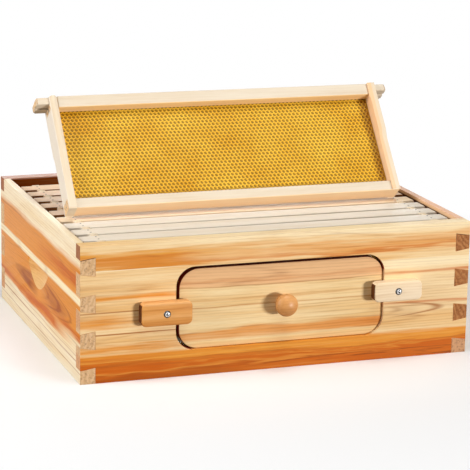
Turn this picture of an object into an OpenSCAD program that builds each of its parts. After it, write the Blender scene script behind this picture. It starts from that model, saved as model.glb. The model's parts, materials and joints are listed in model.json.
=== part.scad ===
// Beehive honey super with an observation window: a dovetailed box, a window with an
// inset door held by two turn buttons, nine hung frames and a tenth leaning on top.
// Millimetres. X runs along the front, Y from front to back, Z up from the ground.

/* [Box] */
// Outside length, along the front
box_l = 505; // [480:1:540]
// Outside width, front to back
box_w = 413; // [400:1:460]
// Outside height
box_h = 170; // [160:1:200]
// Thickness of the four boards
board_t = 19; // [17:0.5:23]

/* [Corner dovetails] */
// Distance from one pin to the next, up the corner
pin_pitch = 45.2; // [40:0.1:50]
// Height of the lowest pin's middle
first_pin_z = 8.2; // [6:0.1:11]
// Height of a pin at the box's outside face
pin_tip_h = 17; // [12:0.5:20]
// Height of a pin at its root
pin_root_h = 23; // [20.5:0.5:26]
// Least height of the half tail that closes the corner at the top
top_tail_h = 8; // [4:0.5:12]

/* [Frame rests] */
// Width of the ledge that the frames hang on
rest_w = 10; // [8:0.5:12]
// Depth of that ledge below the rim
rest_depth = 13; // [11:0.5:16]

/* [Hand holds] */
// Length of the hand hold at its top edge
hold_l = 108; // [90:1:140]
// Height of the hand hold
hold_h = 30; // [24:1:40]
// Depth of the hand hold under its top edge
hold_depth = 11; // [8:0.5:12]
// Height of the hand hold's top edge above the ground
hold_top_z = 96; // [80:1:110]

/* [Window] */
// Width of the window opening
window_w = 270.6; // [200:0.1:280]
// Height of the window opening
window_h = 103.5; // [80:0.5:110]
// Corner radius of the window opening
window_r = 24; // [12:1:30]
// How far the window's middle lies to the right of the box's middle
window_x = 2; // [0:0.1:3]
// Height of the window's middle above the ground
window_z = 84.5; // [78:0.5:92]
// Thickness of the clear pane
pane_t = 3; // [2:0.5:4]
// How far the pane laps behind the board, all round
pane_lip = 12; // [9:0.5:14]
// Diameter of the pane screws
pane_screw_d = 3; // [2.5:0.1:3.5]
// How far the pane screws reach into the board
pane_screw_grip = 9; // [6:0.5:11]

/* [Window door] */
// How far the door lies behind the front face
door_recess = 3.8; // [2:0.1:6]
// Free width in the opening, left of the door
door_side_play = 4.9; // [1.5:0.1:6]
// Free height in the opening, above the door
door_top_play = 3.7; // [1:0.1:4.5]
// Gap on the two edges where the door rests in the opening, and behind it
door_seat = 0.3; // [0.2:0.05:0.6]

/* [Knob] */
// Diameter of the knob's head
knob_d = 28; // [24:0.5:36]
// Height of the knob above the door
knob_h = 26; // [22:0.5:32]
// Diameter of the knob's foot
knob_foot_d = 18; // [16:0.5:20]
// Diameter of the knob's waist
knob_waist_d = 13; // [11:0.5:14]
// Diameter of the screw that holds the knob
knob_screw_d = 4; // [3:0.1:4.5]
// How far that screw reaches into the knob
knob_screw_grip = 14; // [10:0.5:18]

/* [Turn buttons] */
// Length of a turn button
button_l = 64; // [50:1:75]
// Width of the left turn button
left_button_w = 29; // [24:0.5:29]
// Width of the right turn button
right_button_w = 25; // [24:0.5:29]
// Thickness of a turn button
button_t = 12; // [9:0.5:14]
// Corner radius of a turn button
button_r = 6.5; // [5:0.5:11]
// Eased edge round the face of a turn button
button_edge = 1.3; // [0.8:0.1:2.5]
// From the window's side edge out to the button screws
button_out = 14.9; // [14.8:0.1:18]
// Height of the left button's screw
left_button_z = 83; // [70:0.5:100]
// Height of the right button's screw
right_button_z = 89.5; // [70:0.5:100]
// Gap between a button and the board behind it
button_gap = 0.3; // [0.2:0.05:0.6]
// Diameter of the button screws
button_screw_d = 4.5; // [3.5:0.1:5]
// How far the button screws reach into the board
button_screw_grip = 13; // [9:0.5:15]

/* [Frames] */
// Width of the top bar between the end bars
top_bar_w = 29.5; // [25:0.5:30]
// Thickness of the top bar
top_bar_t = 17; // [15:0.5:22]
// Width of the lugs at the ends of the top bar
lug_w = 24; // [19:0.5:25]
// Thickness of the lugs
lug_t = 10; // [8:0.5:11]
// Gap between the end of a lug and the rim
lug_play = 3.5; // [1.5:0.5:5]
// Space between an end bar and the box's end board
end_space = 10.5; // [8:0.5:13]
// Space under the frames
floor_space = 8; // [5:0.5:11]
// Thickness of an end bar
end_bar_t = 10.5; // [9:0.5:12]
// Width of the lower part of an end bar
end_bar_w = 28; // [26:0.5:30]
// Width of the spacing shoulders at the top of an end bar
shoulder_w = 35; // [33:0.5:36]
// Height of the spacing shoulders
shoulder_h = 70; // [50:1:80]
// Flat left on the shoulder's pointed edge
shoulder_nose = 3.5; // [2:0.5:5]
// Width of the bottom bar
bottom_bar_w = 22; // [19:0.5:24]
// Thickness of the bottom bar
bottom_bar_t = 14; // [10:0.5:16]
// Thickness of the comb foundation
sheet_t = 3; // [2:0.5:4]
// Depth of the foundation groove in the top bar
top_groove = 9; // [7.5:0.5:10]
// Depth of the foundation groove in the bottom bar
bottom_groove = 4; // [3:0.5:5]

/* [Frames in the box] */
// Space between the front board and the first frame
front_space = 12.5; // [9:0.5:16]
// Gap between the shoulders of neighbouring frames
frame_play = 0.6; // [0.4:0.1:1]
// Extra gap that the fifth and sixth frames have between them
loose_gap = 7.5; // [0:0.5:10]

/* [Frame shown on top] */
// How far the shown frame leans back from upright, in degrees
lean = 40; // [30:1:46]
// How far it stands to the left of the box's middle
shown_left = 6; // [0:0.5:12]
// Where its lower back edge stands, behind the middle of the bar under it
shown_back = 4; // [2:0.5:10]

/* [Hidden] */
$fn = 96;

// Working allowances: how far a cut passes a face, glue and screw fits, and the running
// clearance of a turn button on its screw
cut_over = 1;
screw_fit = 0.02;
turn_fit = 0.05;
sheet_fit = 0.2;
shown_gap = 0.3;

// Screw heads
pane_head_d = 2 * pane_screw_d;
pane_head_h = 0.7 * pane_screw_d;
button_head_d = 2 * button_screw_d;
button_head_h = 0.55 * button_screw_d;
knob_head_d = 2 * knob_screw_d;
tip_share = 1.2;

// Box: placed so that the whole footprint, with what stands out in front, is centred on the origin
button_reach = button_gap + button_t + button_head_h;
front_reach = max(knob_h - door_recess, button_reach);
front_y = (front_reach - box_w) / 2;
back_y = front_y + box_w;
end_x = box_l / 2;
inner_l = box_l - 2 * board_t;
inner_w = box_w - 2 * board_t;
pin_room = box_h - first_pin_z - pin_root_h / 2 - top_tail_h;
pin_count = floor(pin_room / pin_pitch) + 1;

// Hand hold: a cone on an upright axis outside the board, with its widest ring at the top edge
hold_mid_r = (hold_l * hold_l / 4 + hold_depth * hold_depth) / (2 * hold_depth);
hold_axis_out = hold_mid_r - hold_depth;
hold_slope = hold_depth / hold_h;
hold_run_out = 10;

// Window, pane and door
pane_w = window_w + 2 * pane_lip;
pane_h = window_h + 2 * pane_lip;
pane_r = window_r + pane_lip / 2;
pane_y = front_y + board_t - pane_t;
door_w = window_w - door_side_play - door_seat;
door_h = window_h - door_top_play - door_seat;
door_x = window_x + (door_side_play - door_seat) / 2;
door_z = window_z + (door_seat - door_top_play) / 2;
door_y = front_y + door_recess;
door_t = board_t - pane_t - door_recess - door_seat;
pane_screw_x = (window_w + pane_lip) / 2;
pane_screw_z = (window_h + pane_lip) / 2;
pane_screw_columns = [-0.25, 0.25];

// Turn buttons
button_reach_x = window_w / 2 + button_out;
left_button_x = window_x - button_reach_x;
right_button_x = window_x + button_reach_x;
button_y = front_y - button_gap;

// Knob: a dome that runs smoothly into a round rim, and a cove between the head and the foot
knob_rim_r = knob_d / 4;
knob_dome_r = 0.6 * knob_d;
knob_foot_h = 3;
knob_crown_r = knob_d / 2 - knob_rim_r;
knob_blend_r = knob_dome_r - knob_rim_r;
knob_blend_h = sqrt(pow(knob_blend_r, 2) - pow(knob_crown_r, 2));
knob_rim_z = knob_h - knob_dome_r + knob_blend_h;
knob_blend_z = knob_rim_z + knob_rim_r * knob_blend_h / knob_blend_r;
knob_head_z = knob_rim_z - knob_rim_r;

// Frames
rim_land = board_t - rest_w;
bar_top_z = box_h - rest_depth + lug_t;
frame_h = bar_top_z - floor_space;
top_bar_l = box_l - 2 * (rim_land + lug_play);
frame_l = inner_l - 2 * end_space;
inside_l = frame_l - 2 * end_bar_t;
frame_pitch = shoulder_w + frame_play;
shoulder_slope_h = 13;
lug_chamfer = 1.5;
groove_w = sheet_t + 2 * sheet_fit;
sheet_end_gap = 0.4;
sheet_low_z = bottom_bar_t - bottom_groove + sheet_fit;
sheet_high_z = frame_h - top_bar_t + top_groove - sheet_fit;

// The box is filled with frames, less the one that is out and shown on top. The gap after one
// frame is wider, and one frame carries the shown one.
hung_frames = floor((inner_w - front_space) / frame_pitch) - 1;
wide_gap_after = 5;
carrier = 4;
shown = hung_frames + 1;

// Place of each hung frame's middle
function frame_y(i) = front_y + board_t + front_space + shoulder_w / 2 + (i - 1) * frame_pitch
    + (i > wide_gap_after ? loose_gap : 0);

FRAME_PIECES = ["top_bar", "end_bars", "bottom_bar", "foundation"];

// Colours of the real pieces
board_colour = "#d9ad6c";
end_colour = "#d59a58";
door_colour = "#e2bd84";
turned_colour = "#cf9450";
frame_colour = "#efdcbc";
wax_colour = "#dba02c";
steel_colour = "#c3c5c8";

// Stands a flat shape up: its second axis becomes Z, and it is depth thick from Y = 0 backwards
module upright(depth) {
    translate([0, depth, 0]) rotate([90, 0, 0]) linear_extrude(depth) children();
}

// Turns a flat shape of (Y, Z) points into a piece that is length long along X, centred
module lengthwise(length) {
    rotate([90, 0, 90]) translate([0, 0, -length / 2]) linear_extrude(length) children();
}

module rounded_rect(w, h, r) {
    square([w - 2 * r, h], center = true);
    square([w, h - 2 * r], center = true);
    for (sx = [-1, 1]) {
        for (sz = [-1, 1]) {
            translate([sx * (w / 2 - r), sz * (h / 2 - r)]) circle(r);
        }
    }
}

// Pins of one corner, seen from the front: narrow at the outside face (X = 0), wide at the root
module pin_row() {
    flare = (pin_root_h - pin_tip_h) / 2 / board_t;
    outside_h = pin_tip_h / 2 - flare * cut_over;
    intersection() {
        translate([-cut_over, 0]) square([board_t + cut_over, box_h]);
        union() {
            square_down_to_ground();
            for (i = [0 : pin_count - 1]) {
                translate([0, first_pin_z + i * pin_pitch]) polygon([
                    [-cut_over, -outside_h], [board_t, -pin_root_h / 2],
                    [board_t, pin_root_h / 2], [-cut_over, outside_h]
                ]);
            }
        }
    }
}

// The lowest pin's lower half is square, so that it ends flush with the box's bottom edge
module square_down_to_ground() {
    translate([-cut_over, -cut_over]) square([board_t + cut_over, first_pin_z + cut_over]);
}

// The space between the pins of one corner, which the tails fill
module tail_row() {
    difference() {
        translate([-cut_over, -cut_over]) square([board_t + 2 * cut_over, box_h + 2 * cut_over]);
        pin_row();
    }
}

// A long board with tails cut at both ends, its outside face at Y = 0
module tail_board() {
    difference() {
        translate([-end_x, 0, 0]) cube([box_l, board_t, box_h]);
        for (side = [0, 1]) {
            mirror([side, 0, 0]) translate([-end_x, -cut_over, 0])
                upright(board_t + 2 * cut_over) pin_sockets();
        }
    }
}

// Sockets for the pins: the lowest one is open at the board's bottom edge
module pin_sockets() {
    pin_row();
    square_down_to_ground();
}

// An end board with pins at both ends, its outside face at X = 0, from Y = 0 to box_w
module pin_board() {
    difference() {
        cube([board_t, box_w, box_h]);
        translate([0, -cut_over, 0]) upright(board_t + cut_over) tail_row();
        translate([0, box_w - board_t, 0]) upright(board_t + cut_over) tail_row();
        translate([rim_land, -cut_over, box_h - rest_depth])
            cube([rest_w + cut_over, box_w + 2 * cut_over, rest_depth + cut_over]);
        hand_hold();
    }
}

// Hand hold: deepest under its flat top edge, running out to the face below
module hand_hold() {
    low_r = hold_mid_r - hold_slope * (hold_h + hold_run_out);
    translate([-hold_axis_out, box_w / 2, hold_top_z - hold_h - hold_run_out])
        cylinder(h = hold_h + hold_run_out, r1 = low_r, r2 = hold_mid_r, $fn = 180);
}

// A wood screw along Z: the underside of its head at Z = 0, the shank down, the head up
module shank(d, length) {
    tip_h = tip_share * d;
    translate([0, 0, -length + tip_h]) cylinder(h = length - tip_h, d = d);
    translate([0, 0, -length]) cylinder(h = tip_h, d1 = d / 5, d2 = d);
}

module cross_recess(d, depth) {
    wing_l = 0.56 * d;
    wing_w = d / 6;
    for (turn = [0, 90]) {
        rotate([0, 0, turn]) translate([-wing_l / 2, -wing_w / 2, 0])
            cube([wing_l, wing_w, depth + cut_over]);
    }
}

module round_head(d, h) {
    dome_r = (d * d / 4 + h * h) / (2 * h);
    difference() {
        rotate_extrude() intersection() {
            translate([0, h - dome_r]) circle(dome_r);
            square([d / 2, h]);
        }
        translate([0, 0, h / 2]) cross_recess(d, h / 2);
    }
}

module pan_screw(d, length, head_d, head_h) {
    shank(d, length);
    round_head(head_d, head_h);
}

// Turns a piece made along Z to point forwards, out of the front face
module facing_front(x, y, z) {
    translate([x, y, z]) rotate([90, 0, 0]) children();
}

// Turns a piece made along Z to point backwards, into the box
module facing_back(x, y, z) {
    translate([x, y, z]) rotate([-90, 0, 0]) children();
}

module window_opening() {
    translate([window_x, -cut_over, window_z]) upright(board_t + 2 * cut_over)
        rounded_rect(window_w, window_h, window_r);
    translate([window_x, board_t - pane_t, window_z]) upright(pane_t + cut_over)
        rounded_rect(pane_w + 2 * sheet_fit, pane_h + 2 * sheet_fit, pane_r + sheet_fit);
}

// Places of the pane screws: along the top and bottom, and one at each side
function pane_screw_places() = concat(
    [for (c = pane_screw_columns) for (s = [-1, 1]) [window_x + c * window_w, window_z + s * pane_screw_z]],
    [for (s = [-1, 1]) [window_x + s * pane_screw_x, window_z]]
);

module front_board() {
    screw_r = button_screw_d / 2 + screw_fit;
    color(board_colour) difference() {
        translate([0, front_y, 0]) difference() {
            tail_board();
            window_opening();
        }
        facing_back(left_button_x, front_y - cut_over, left_button_z)
            cylinder(h = button_screw_grip + cut_over, r = screw_r);
        facing_back(right_button_x, front_y - cut_over, right_button_z)
            cylinder(h = button_screw_grip + cut_over, r = screw_r);
        for (p = pane_screw_places()) {
            facing_front(p[0], pane_y + cut_over, p[1])
                cylinder(h = pane_screw_grip + cut_over, d = pane_screw_d + 2 * screw_fit);
        }
    }
}

module back_board() {
    color(board_colour) translate([0, back_y, 0]) mirror([0, 1, 0]) tail_board();
}

module left_end_board() {
    color(end_colour) translate([-end_x, front_y, 0]) pin_board();
}

module right_end_board() {
    color(end_colour) translate([end_x, front_y, 0]) mirror([1, 0, 0]) pin_board();
}

module window_pane() {
    color("lightcyan", 0.4) difference() {
        translate([window_x, pane_y, window_z]) upright(pane_t) rounded_rect(pane_w, pane_h, pane_r);
        for (p = pane_screw_places()) {
            facing_front(p[0], pane_y + pane_t + cut_over, p[1])
                cylinder(h = pane_t + 2 * cut_over, d = pane_screw_d + 2 * sheet_fit);
        }
    }
}

module pane_screws() {
    color(steel_colour) for (p = pane_screw_places()) {
        facing_back(p[0], pane_y + pane_t, p[1])
            pan_screw(pane_screw_d, pane_t + pane_screw_grip, pane_head_d, pane_head_h);
    }
}

// The knob's screw comes from behind the door, with a sunk head
module knob_screw_shape(fit) {
    sink_h = (knob_head_d - knob_screw_d) / 2;
    cylinder(h = sink_h, d1 = knob_head_d + 2 * fit, d2 = knob_screw_d + 2 * fit);
    cylinder(h = door_t + knob_screw_grip - tip_share * knob_screw_d, d = knob_screw_d + 2 * fit);
}

module window_door() {
    color(door_colour) difference() {
        translate([door_x, door_y, door_z]) upright(door_t) rounded_rect(door_w, door_h, window_r);
        facing_front(door_x, door_y + door_t, door_z) knob_screw_shape(screw_fit);
    }
}

module knob_outline() {
    cove_h = knob_head_z - knob_foot_h;
    square([knob_foot_d / 2, knob_foot_h]);
    difference() {
        square([knob_foot_d / 2, knob_rim_z]);
        translate([knob_waist_d / 2 + cove_h / 2, knob_foot_h + cove_h / 2]) circle(cove_h / 2);
        translate([knob_waist_d / 2 + cove_h / 2, knob_foot_h]) square([knob_foot_d / 2, cove_h]);
    }
    translate([knob_crown_r, knob_rim_z]) circle(knob_rim_r);
    translate([0, knob_head_z]) square([knob_crown_r, knob_blend_z - knob_head_z]);
    intersection() {
        translate([0, knob_h - knob_dome_r]) circle(knob_dome_r);
        translate([0, knob_blend_z]) square([knob_d / 2, knob_h]);
    }
}

module door_knob() {
    color(turned_colour) facing_front(door_x, door_y, door_z) difference() {
        rotate_extrude() knob_outline();
        translate([0, 0, -door_t]) knob_screw_shape(screw_fit);
    }
}

module knob_screw() {
    color(steel_colour) facing_front(door_x, door_y + door_t, door_z) difference() {
        knob_screw_shape(0);
        translate([0, 0, -cut_over]) cross_recess(knob_head_d, knob_screw_d / 3);
    }
}

// A turn button along Z: its back at Z = 0, its eased face forwards
module turn_button(width) {
    face_l = button_l - 2 * button_edge;
    face_w = width - 2 * button_edge;
    difference() {
        hull() {
            linear_extrude(button_t - button_edge) rounded_rect(button_l, width, button_r, $fn = 32);
            linear_extrude(button_t) rounded_rect(face_l, face_w, button_r - button_edge, $fn = 32);
        }
        translate([0, 0, -cut_over])
            cylinder(h = button_t + 2 * cut_over, d = button_screw_d + 2 * turn_fit);
    }
}

module left_turn_button() {
    color(turned_colour) facing_front(left_button_x, button_y, left_button_z) turn_button(left_button_w);
}

module right_turn_button() {
    color(door_colour) facing_front(right_button_x, button_y, right_button_z) turn_button(right_button_w);
}

module button_screw(x, z) {
    length = button_t + button_gap + turn_fit + button_screw_grip;
    color(steel_colour) facing_front(x, button_y - button_t - turn_fit, z)
        pan_screw(button_screw_d, length, button_head_d, button_head_h);
}

module left_button_screw() {
    button_screw(left_button_x, left_button_z);
}

module right_button_screw() {
    button_screw(right_button_x, right_button_z);
}

// Frame pieces stand on Z = 0 with the frame's middle at X = 0, Y = 0

// Top bar: full width between the end bars, a neck through them and a thinner lug at each end
module top_bar() {
    half = top_bar_l / 2;
    low = frame_h - top_bar_t;
    difference() {
        intersection() {
            translate([0, 0, low]) linear_extrude(top_bar_t) union() {
                square([inside_l, top_bar_w], center = true);
                square([top_bar_l - 2 * lug_chamfer, lug_w], center = true);
                square([top_bar_l, lug_w - 2 * lug_chamfer], center = true);
            }
            translate([0, -top_bar_w / 2, 0]) upright(top_bar_w) polygon([
                [-frame_l / 2, low], [frame_l / 2, low],
                [frame_l / 2, frame_h - lug_t], [half, frame_h - lug_t],
                [half, frame_h - lug_chamfer], [half - lug_chamfer, frame_h],
                [lug_chamfer - half, frame_h], [-half, frame_h - lug_chamfer],
                [-half, frame_h - lug_t], [-frame_l / 2, frame_h - lug_t]
            ]);
        }
        translate([-half - cut_over, -groove_w / 2, low - cut_over])
            cube([top_bar_l + 2 * cut_over, groove_w, top_groove + cut_over]);
    }
}

// Outline of an end bar seen from its end: shoulders above, a notch for each bar
module end_bar_outline() {
    low_w = end_bar_w / 2;
    high_w = shoulder_w / 2;
    shoulder_z = frame_h - shoulder_h;
    difference() {
        polygon([
            [-low_w, 0], [low_w, 0], [low_w, shoulder_z - shoulder_slope_h], [high_w, shoulder_z],
            [high_w, frame_h], [-high_w, frame_h], [-high_w, shoulder_z],
            [-low_w, shoulder_z - shoulder_slope_h]
        ]);
        translate([-lug_w / 2, frame_h - top_bar_t]) square([lug_w, top_bar_t + cut_over]);
        translate([-bottom_bar_w / 2, -cut_over]) square([bottom_bar_w, bottom_bar_t + cut_over]);
    }
}

// One end bar at the -X end, its shoulder pointed at the front and square at the back
module end_bar() {
    slope_y = (shoulder_w - end_bar_w) / 2;
    slope_x = (end_bar_t - shoulder_nose) / 2;
    outer = -frame_l / 2;
    inner = outer + end_bar_t;
    front = -shoulder_w / 2;
    intersection() {
        translate([(outer + inner) / 2, 0, 0]) lengthwise(end_bar_t) end_bar_outline();
        linear_extrude(frame_h) polygon([
            [outer, -front], [outer, front + slope_y], [outer + slope_x, front],
            [inner - slope_x, front], [inner, front + slope_y], [inner, -front]
        ]);
    }
}

module end_bars() {
    end_bar();
    rotate([0, 0, 180]) end_bar();
}

module bottom_bar() {
    lengthwise(frame_l) difference() {
        translate([-bottom_bar_w / 2, 0]) square([bottom_bar_w, bottom_bar_t]);
        translate([-groove_w / 2, bottom_bar_t - bottom_groove])
            square([groove_w, bottom_groove + cut_over]);
    }
}

module foundation() {
    sheet_l = inside_l - 2 * sheet_end_gap;
    translate([-sheet_l / 2, -sheet_t / 2, sheet_low_z])
        cube([sheet_l, sheet_t, sheet_high_z - sheet_low_z]);
}

// Puts a frame piece where its frame hangs, or leans on top of the carrier's bar
module in_frame(i) {
    if (i <= hung_frames) {
        translate([0, frame_y(i), floor_space]) children();
    } else {
        translate([-shown_left, frame_y(carrier) + shown_back, bar_top_z + shown_gap])
            rotate([-lean, 0, 0]) translate([0, -end_bar_w / 2, 0]) children();
    }
}

module frame_top_bar(i) {
    color(frame_colour) in_frame(i) top_bar();
}

module frame_end_bars(i) {
    color(frame_colour) in_frame(i) end_bars();
}

module frame_bottom_bar(i) {
    color(frame_colour) in_frame(i) bottom_bar();
}

module frame_foundation(i) {
    color(wax_colour) in_frame(i) foundation();
}

front_board();
back_board();
left_end_board();
right_end_board();
window_pane();
pane_screws();
window_door();
door_knob();
knob_screw();
left_turn_button();
right_turn_button();
left_button_screw();
right_button_screw();
for (i = [1 : shown]) {
    frame_top_bar(i);
    frame_end_bars(i);
    frame_bottom_bar(i);
    frame_foundation(i);
}
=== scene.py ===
"""Looks of a honey super with an observation window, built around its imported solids.

A dovetailed wooden box holds nine frames of comb foundation, and a tenth frame leans on top. The
window in its front is closed by an inset door with a turned knob and two turn buttons. Lengths are
metres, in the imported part's own frame: X along the front, Y from front to back, Z up.
"""
import json
import logging
import math
from collections.abc import Callable, Iterable
from dataclasses import dataclass, field, replace
from enum import Enum

import bmesh
import bpy
from mathutils import Matrix, Vector


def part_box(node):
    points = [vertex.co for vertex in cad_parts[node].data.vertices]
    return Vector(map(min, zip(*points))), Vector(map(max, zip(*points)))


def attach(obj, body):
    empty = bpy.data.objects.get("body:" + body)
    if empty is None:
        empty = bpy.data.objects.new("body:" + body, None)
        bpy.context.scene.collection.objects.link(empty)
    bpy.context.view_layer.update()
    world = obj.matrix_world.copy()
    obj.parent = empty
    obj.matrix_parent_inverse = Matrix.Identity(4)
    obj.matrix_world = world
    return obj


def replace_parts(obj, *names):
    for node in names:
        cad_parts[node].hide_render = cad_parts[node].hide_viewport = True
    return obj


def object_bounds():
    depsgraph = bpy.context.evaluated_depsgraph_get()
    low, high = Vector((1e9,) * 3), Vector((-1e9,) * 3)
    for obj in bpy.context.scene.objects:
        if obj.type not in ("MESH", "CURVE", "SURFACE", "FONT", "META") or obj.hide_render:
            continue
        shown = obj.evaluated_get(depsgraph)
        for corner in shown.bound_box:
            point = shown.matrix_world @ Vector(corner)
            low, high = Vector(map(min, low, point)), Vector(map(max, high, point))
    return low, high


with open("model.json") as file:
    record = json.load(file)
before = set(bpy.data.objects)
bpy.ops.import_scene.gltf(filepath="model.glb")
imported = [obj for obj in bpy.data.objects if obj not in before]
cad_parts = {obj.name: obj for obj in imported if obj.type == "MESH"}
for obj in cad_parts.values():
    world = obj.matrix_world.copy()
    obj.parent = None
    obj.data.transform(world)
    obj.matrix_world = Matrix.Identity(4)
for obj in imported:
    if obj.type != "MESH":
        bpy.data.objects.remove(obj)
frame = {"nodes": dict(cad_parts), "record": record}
CAD_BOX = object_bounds()

MM = 0.001
LOG = logging.getLogger("honey_super")
HUNG_FRAMES = range(1, 10)
# The hung frame that the leaning frame stands on, given lighter wood as painted light in the leaning
# frame's shadow.
LIGHTENED_FRAME = 4
SHOWN_FRAME = 10
FULL_TURN = 2 * math.pi
# Name of the mesh attribute that holds the cells' painted shade, which is 1 at their deepest point.
CELL_SHADE = "cell_shade"
# Eased edges of the far frames' top bars.
FAR_EASE = 0.4 * MM
# Strength of the growth lines in the frames' pale wood.
FAINT_LINES = 0.12
# Lower than any board, in millimetres.
BELOW_ALL = -1000.0
# Past every piece, in metres: what starts here isn't seen.
NOWHERE = 1.0
# Powers that narrow the crests of a wave into growth lines, and into finer ones.
LINE_POWER = 5
FINE_POWER = 30
# How far a face is turned towards an axis: the share of its normal that lies along it.
FULLY = 0.8
MOSTLY = 0.5
SLIGHTLY = 0.15

Colour = tuple[float, float, float, float]
Material = bpy.types.Material
Piece = bpy.types.Object
Face = bpy.types.MeshPolygon
BMesh = bmesh.types.BMesh


def linear(code: str) -> Colour:
    """Turns a colour code into the linear values that shaders take.

    Args:
        code: A hash and six hexadecimal digits, such as #e3a52c.

    Returns:
        Red, green, blue and an alpha of 1.
    """
    shares = [int(code[i:i + 2], 16) / 255 for i in (1, 3, 5)]
    red, green, blue = (s / 12.92 if s <= 0.04045 else ((s + 0.055) / 1.055) ** 2.4 for s in shares)
    return red, green, blue, 1.0


class Value:
    """A shader socket that Python's operators work on: each one adds its Math node."""

    def __init__(self, shader: "Shader", socket: bpy.types.NodeSocket) -> None:
        """Wraps a socket of a shader's node tree."""
        self.shader = shader
        self.socket = socket

    def _math(self, operation: str, *terms: "Value | float") -> "Value":
        """Adds a Math node of an operation on some terms, in order."""
        return self.shader.node("ShaderNodeMath", {"operation": operation}, dict(enumerate(terms)))

    def __add__(self, other: "Value | float") -> "Value":
        """This value plus another."""
        return self._math("ADD", self, other)

    __radd__ = __add__

    def __sub__(self, other: "Value | float") -> "Value":
        """This value less another."""
        return self._math("SUBTRACT", self, other)

    def __rsub__(self, other: float) -> "Value":
        """A number less this value."""
        return self._math("SUBTRACT", other, self)

    def __mul__(self, other: "Value | float") -> "Value":
        """This value times another."""
        return self._math("MULTIPLY", self, other)

    __rmul__ = __mul__

    def __truediv__(self, other: "Value | float") -> "Value":
        """This value over another."""
        return self._math("DIVIDE", self, other)

    def __pow__(self, other: float) -> "Value":
        """This value to a power."""
        return self._math("POWER", self, other)

    def sine(self) -> "Value":
        """The sine of this value, from 0 to 1."""
        return self._math("SINE", self) * 0.5 + 0.5

    def spread(self, low: float, high: float) -> "Value":
        """This value stretched so that low is 0 and high is 1, and held between them."""
        inputs = {"Value": self, "From Min": low, "From Max": high}
        return self.shader.node("ShaderNodeMapRange", {"clamp": True}, inputs)


class Grain(Enum):
    """Axis that the fibres run along, then the axes across them and through the board."""

    ALONG_X = (0, 2, 1)
    ALONG_Y = (1, 2, 0)
    ALONG_Z = (2, 0, 1)

    def direction(self) -> Vector:
        """The fibres' direction."""
        return Vector([1.0 if i == self.value[0] else 0.0 for i in range(3)])


class Shader:
    """The node tree of one material, or of the world."""

    def __init__(self, owner: "Material | bpy.types.World") -> None:
        """Empties the owner's node tree.

        Args:
            owner: The material or world.
        """
        owner.use_nodes = True
        self.owner = owner
        self.tree = owner.node_tree
        self.tree.nodes.clear()

    @classmethod
    def new(cls, name: str) -> "Shader":
        """Starts a material."""
        return cls(bpy.data.materials.new(name))

    @staticmethod
    def _socket(sockets: bpy.types.bpy_prop_collection, key: int | str) -> bpy.types.NodeSocket:
        """Finds one of a node's sockets by its identifier, name or place."""
        by_identifier = {s.identifier: s for s in sockets}
        return by_identifier[key] if key in by_identifier else sockets[key]

    def node(self, kind: str, settings: dict | None = None, inputs: dict | None = None,
             output: int | str = 0) -> Value:
        """Adds a node.

        Args:
            kind: The node's type.
            settings: Its own settings, which are set first.
            inputs: A value or a link for each input that isn't left as it is.
            output: Which output is wanted.

        Returns:
            The output.
        """
        made = self.tree.nodes.new(kind)
        for name, setting in (settings or {}).items():
            setattr(made, name, setting)
        for key, given in (inputs or {}).items():
            socket = self._socket(made.inputs, key)
            if isinstance(given, Value):
                self.tree.links.new(given.socket, socket)
            else:
                socket.default_value = given
        return Value(self, self._socket(made.outputs, output))

    def axes(self, turn: float = 0.0) -> list[Value]:
        """Object coordinates, turned about X.

        Args:
            turn: The angle of the turn.

        Returns:
            X, Y and Z.
        """
        spot = self.node("ShaderNodeTexCoord", output="Object")
        turned = self.node("ShaderNodeMapping", inputs={"Vector": spot, "Rotation": (turn, 0, 0)})
        outputs = self.node("ShaderNodeSeparateXYZ", inputs={0: turned}).socket.node.outputs
        return [Value(self, o) for o in outputs]

    def board(self, grain: Grain, turn: float) -> list[Value]:
        """Coordinates along, across and through a board, turned about X."""
        axes = self.axes(turn)
        return [axes[i] for i in grain.value]

    def rays(self, *kinds: str) -> Value:
        """1 for the rays of these kinds, and 0 for others."""
        return sum(self.node("ShaderNodeLightPath", output=f"Is {k} Ray") for k in kinds).spread(0, 1)

    def noise(self, parts: Iterable["Value | float"], detail: float = 2.0) -> Value:
        """Noise, from 0 to 1, over three coordinates that are already scaled."""
        spot = self.node("ShaderNodeCombineXYZ", inputs=dict(enumerate(parts)))
        return self.node("ShaderNodeTexNoise", inputs={"Vector": spot, "Scale": 1.0, "Detail": detail})

    def mix(self, first: "Value | Colour", second: "Value | Colour", share: "Value | float") -> Value:
        """Mixes two colours: the first one at a share of 0 and the second at a share of 1."""
        inputs = {"Factor_Float": share, "A_Color": first, "B_Color": second}
        return self.node("ShaderNodeMix", {"data_type": "RGBA"}, inputs, "Result_Color")

    def bump(self, height: Value, distance: float, strength: float) -> Value:
        """A normal that is bumped by a height, of which 1 stands at the distance."""
        inputs = {"Height": height, "Distance": distance, "Strength": strength}
        return self.node("ShaderNodeBump", inputs=inputs)

    def surface(self, **inputs: "Value | float | Colour") -> Material:
        """Ends the tree in a Principled surface, its sockets named with underscores for spaces."""
        named = {key.replace("_", " "): given for key, given in inputs.items()}
        return self.end(self.node("ShaderNodeBsdfPrincipled", inputs=named))

    def end(self, shade: Value) -> "Material | bpy.types.World":
        """Links a finished shade to the tree's output.

        Args:
            shade: The shade.

        Returns:
            The material or world that owns the tree.
        """
        kind = "World" if isinstance(self.owner, bpy.types.World) else "Material"
        output = self.tree.nodes.new(f"ShaderNodeOutput{kind}")
        self.tree.links.new(shade.socket, output.inputs["Surface"])
        return self.owner


class Tone(str, Enum):
    """Colours that the woods of the box share."""

    CREAM = "#f1d5a4"
    HONEY = "#e4b472"
    BUTTER = "#f8e7bf"
    ORANGE = "#de8e30"
    AMBER = "#dc8c32"
    RUST = "#c45e0a"
    UMBER = "#843a04"
    BROWN = "#a05c22"


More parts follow.
